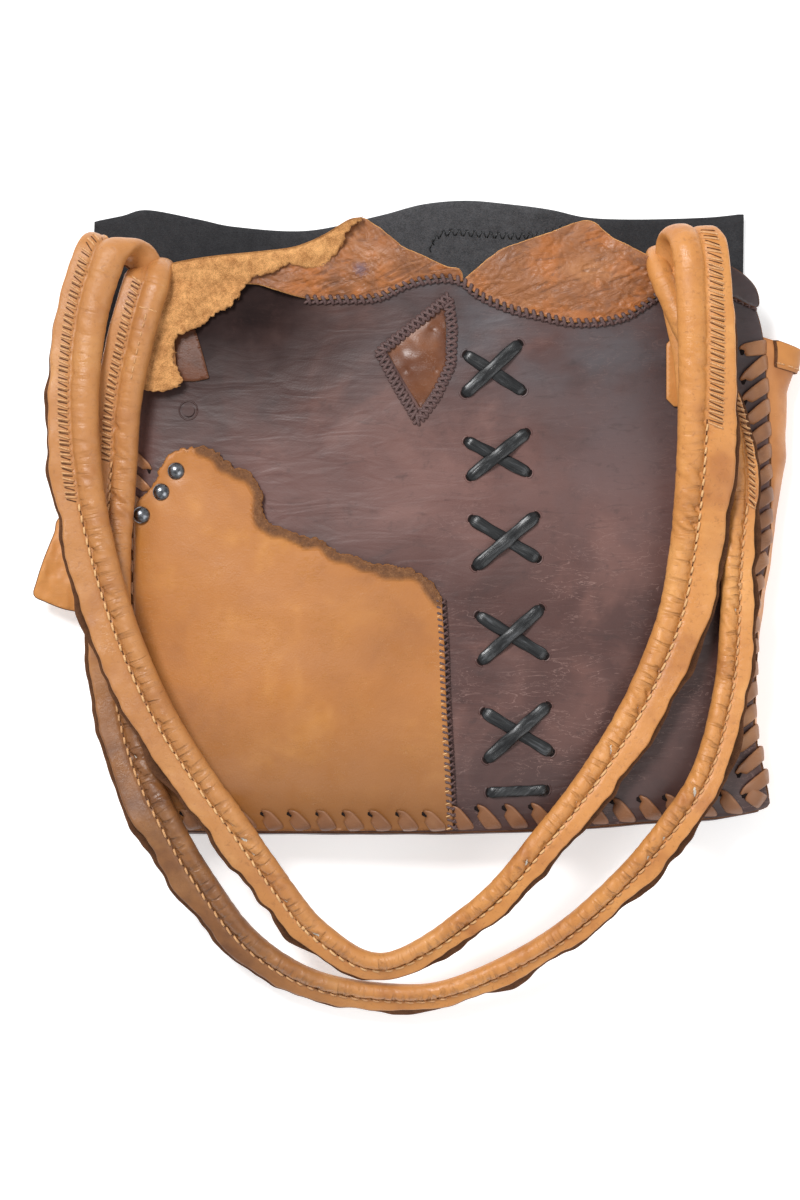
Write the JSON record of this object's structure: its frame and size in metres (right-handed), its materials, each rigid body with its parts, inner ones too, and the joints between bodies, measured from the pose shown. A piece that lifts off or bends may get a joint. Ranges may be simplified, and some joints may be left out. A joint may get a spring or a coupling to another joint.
{
  "type": "leather tote bag",
  "caption": "Handmade patchwork leather tote lying flat, laced edges, laced crosses, riveted patch pocket and two long rolled handles.",
  "frame": {"origin": "middle of the outline, on the surface the bag lies on", "axes": "+X across the bag to its right, +Y from the base to the mouth, +Z out of the front"},
  "size_m": [0.4054, 0.4306, 0.077],
  "materials": {
    "black_suede": "matte suede",
    "brown_leather": "waxed grain, semi gloss",
    "tan_leather": "smooth grain",
    "pocket_leather": "smooth grain",
    "facing_leather": "live edge, part suede",
    "patch_leather": "creased grain",
    "handle_leather": "smooth grain, wrinkled",
    "tan_lace": "smooth",
    "black_lace": "semi gloss",
    "dark_thread": "waxed thread",
    "tan_thread": "waxed thread",
    "ladder_thread": "waxed thread",
    "cord_filler": "cotton cord",
    "gunmetal": "polished dark nickel"
  },
  "bodies": {
    "root": {"back_bottom_lacing": "tan_lace", "back_left_anchor_tab": "tan_leather", "back_left_fold": "handle_leather", "back_left_lacing": "tan_lace", "back_left_leg": "handle_leather", "back_panel": "black_suede", "back_right_anchor_tab": "tan_leather", "back_right_fold": "handle_leather", "back_right_lacing": "tan_lace", "back_right_leg": "handle_leather", "base_panel": "brown_leather", "corner_facing": "brown_leather", "cross_lace_bar": "black_lace", "cross_lace_over": "black_lace", "cross_lace_under": "black_lace", "diamond_patch": "patch_leather", "diamond_stitching": "dark_thread", "facing_stitching": "dark_thread", "front_anchor_stud": "gunmetal", "front_bottom_lacing": "tan_lace", "front_left_anchor_tab": "tan_leather", "front_left_fold": "handle_leather", "front_left_lacing": "tan_lace", "front_left_leg": "handle_leather", "front_panel": "brown_leather", "front_pocket": "pocket_leather", "front_right_anchor_tab": "tan_leather", "front_right_fold": "handle_leather", "front_right_lacing": "tan_lace", "front_right_leg": "handle_leather", "left_facing": "facing_leather", "left_gusset": "tan_leather", "left_gusset_ear": "tan_leather", "pocket_bottom_lacing": "tan_lace", "pocket_rivet_backs": "gunmetal", "pocket_rivet_caps": "gunmetal", "pocket_stitching": "dark_thread", "right_facing": "facing_leather", "right_gusset": "tan_leather", "right_gusset_ear": "tan_leather"},
    "back_handle": {"back_handle_core": "cord_filler", "back_handle_cover": "handle_leather", "back_handle_left_ladder_stitching": "ladder_thread", "back_handle_right_ladder_stitching": "ladder_thread", "back_handle_seam_thread": "tan_thread"},
    "front_handle": {"front_handle_core": "cord_filler", "front_handle_cover": "handle_leather", "front_handle_left_ladder_stitching": "ladder_thread", "front_handle_right_ladder_stitching": "ladder_thread", "front_handle_seam_thread": "tan_thread"}
  },
  "joints": [
    {"name": "back_handle_swing", "type": "hinge", "parent": "root", "child": "back_handle", "pos_m": [0, 0.19, 0.048], "axis": [-1, 0, 0], "range_deg": [0, 180], "deforming": ["back_left_fold", "back_right_fold"]},
    {"name": "front_handle_swing", "type": "hinge", "parent": "root", "child": "front_handle", "pos_m": [0, 0.19, 0.048], "axis": [-1, 0, 0], "range_deg": [0, 180], "deforming": ["front_left_fold", "front_right_fold"]}
  ],
  "couplings": [
    {"joint": "front_handle_swing", "follows": "back_handle_swing", "ratio": 1}
  ]
}
